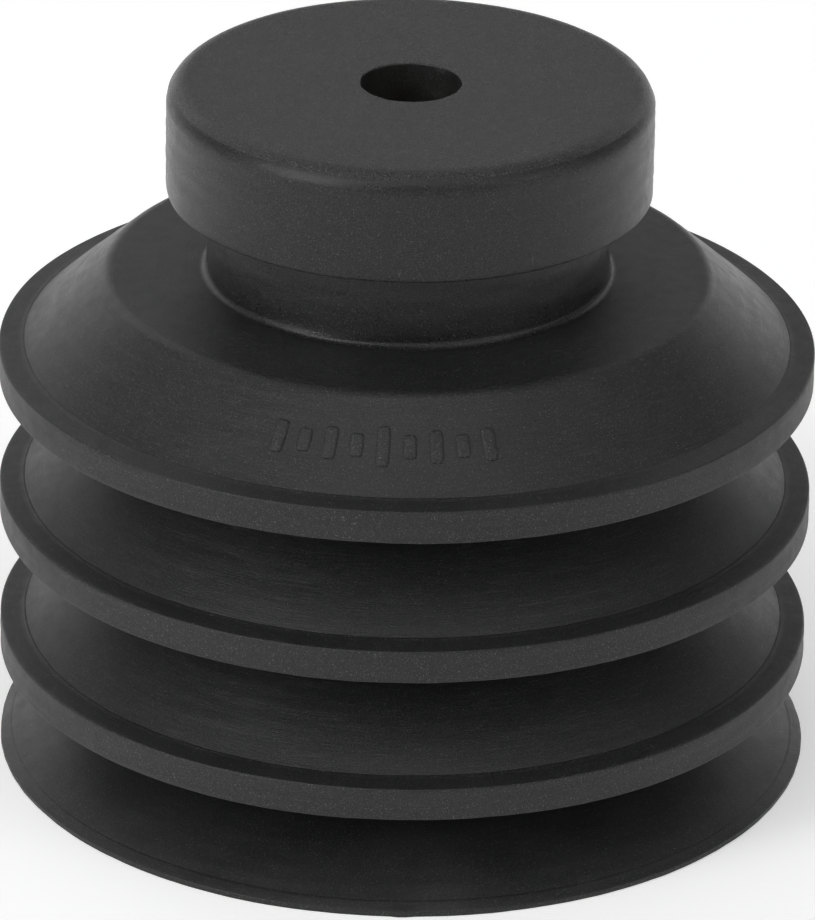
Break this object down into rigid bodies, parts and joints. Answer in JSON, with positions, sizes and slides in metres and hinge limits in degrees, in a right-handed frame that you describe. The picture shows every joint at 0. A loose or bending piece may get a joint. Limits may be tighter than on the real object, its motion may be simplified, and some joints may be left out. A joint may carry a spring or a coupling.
{
  "type": "bellows vacuum suction cup",
  "caption": "Round bellows vacuum suction cup in black rubber: flat head with a central bore, stacked ribbed folds and a thin sealing lip.",
  "frame": {"origin": "centre of the sealing lip's lower face", "axes": "+Z along the cup's axis, from the lip up to the head; the front is -Y"},
  "size_m": [0.0804, 0.0804, 0.07],
  "materials": {
    "rubber": "satin moulded nitrile rubber with fine turned tool marks",
    "plate_steel": "zinc-plated steel",
    "bush_brass": "machined brass"
  },
  "bodies": {
    "head": {"head_disc": "rubber", "support_plate": "plate_steel", "threaded_bush": "bush_brass", "neck_collar": "rubber", "shoulder_cone": "rubber", "crown_cone": "rubber"},
    "rib_1": {"rib_1": "rubber", "rib_1_underside": "rubber"},
    "waist_1": {"waist_1": "rubber", "fold_2_wall": "rubber"},
    "rib_2": {"rib_2": "rubber", "rib_2_underside": "rubber"},
    "waist_2": {"waist_2": "rubber", "fold_3_wall": "rubber"},
    "rib_3": {"rib_3": "rubber", "rib_3_underside": "rubber"},
    "waist_3": {"waist_3": "rubber"},
    "lip": {"lip_skirt": "rubber", "sealing_lip": "rubber"}
  },
  "joints": [
    {"name": "compress_crown", "type": "slide", "parent": "head", "child": "rib_1", "axis": [0, 0, 1], "range_m": [0, 0.0045], "stiffness_N_per_m": 1250, "deforming": ["crown_cone"]},
    {"name": "compress_rib_1_underside", "type": "slide", "parent": "rib_1", "child": "waist_1", "axis": [0, 0, 1], "range_m": [0, 0.00135], "stiffness_N_per_m": 3000, "deforming": ["rib_1_underside"]},
    {"name": "compress_fold_2", "type": "slide", "parent": "waist_1", "child": "rib_2", "axis": [0, 0, 1], "range_m": [0, 0.0045], "stiffness_N_per_m": 1250, "deforming": ["fold_2_wall"]},
    {"name": "tilt_about_x", "type": "hinge", "parent": "rib_2", "child": "waist_2", "pos_m": [0, 0, 0.023], "axis": [1, 0, 0], "range_deg": [-5, 5], "stiffness_Nm_per_rad": 0.5, "deforming": ["rib_2_underside"]},
    {"name": "compress_fold_3", "type": "slide", "parent": "waist_2", "child": "rib_3", "axis": [0, 0, 1], "range_m": [0, 0.0045], "stiffness_N_per_m": 1250, "deforming": ["fold_3_wall"]},
    {"name": "tilt_about_y", "type": "hinge", "parent": "rib_3", "child": "waist_3", "pos_m": [0, 0, 0.0084], "axis": [0, 1, 0], "range_deg": [-5, 5], "stiffness_Nm_per_rad": 0.5, "deforming": ["rib_3_underside"]},
    {"name": "compress_lip", "type": "slide", "parent": "waist_3", "child": "lip", "axis": [0, 0, 1], "range_m": [0, 0.00225], "stiffness_N_per_m": 1800, "deforming": ["lip_skirt"]}
  ],
  "couplings": [
    {"joint": "compress_rib_1_underside", "follows": "compress_crown", "ratio": 0.3},
    {"joint": "compress_fold_2", "follows": "compress_crown", "ratio": 1},
    {"joint": "compress_fold_3", "follows": "compress_crown", "ratio": 1},
    {"joint": "compress_lip", "follows": "compress_crown", "ratio": 0.5}
  ]
}
